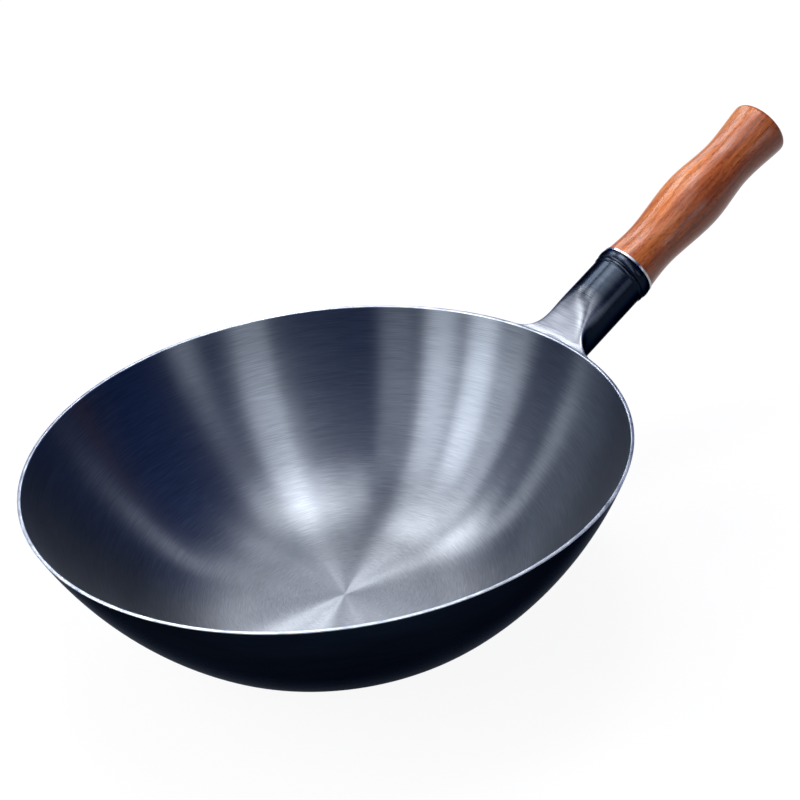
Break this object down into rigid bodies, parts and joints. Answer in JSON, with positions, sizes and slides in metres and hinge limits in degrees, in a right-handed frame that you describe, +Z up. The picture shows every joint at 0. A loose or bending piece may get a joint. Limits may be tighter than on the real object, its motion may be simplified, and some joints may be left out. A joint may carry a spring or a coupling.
{
  "type": "carbon steel wok",
  "caption": "Flat-based carbon steel wok with an open bowl, a flared hollow socket at the rim and a turned wooden grip bolted onto it",
  "frame": {"origin": "centre of the flat underside of the bowl, on the surface that the wok stands on", "axes": "+Z up, +X level and away from the bowl under the handle, +Y to the left of the handle seen from the bowl"},
  "size_m": [0.4984, 0.3194, 0.1844],
  "materials": {
    "blued_steel": "dark blue heat-blued carbon steel, brushed in circles inside the bowl, satin",
    "bright_steel": "plain bright steel, machined",
    "grip_wood": "reddish brown hardwood with straight grain, oiled, semi-gloss"
  },
  "bodies": {
    "root": {"wok_bowl": "blued_steel", "handle_socket": "blued_steel", "socket_collar": "blued_steel", "heat_ring": "bright_steel", "wooden_grip": "grip_wood", "tie_bolt": "bright_steel", "flat_washer": "bright_steel", "spring_washer": "bright_steel", "nut_plate": "blued_steel", "weld_nut": "bright_steel"}
  },
  "joints": []
}
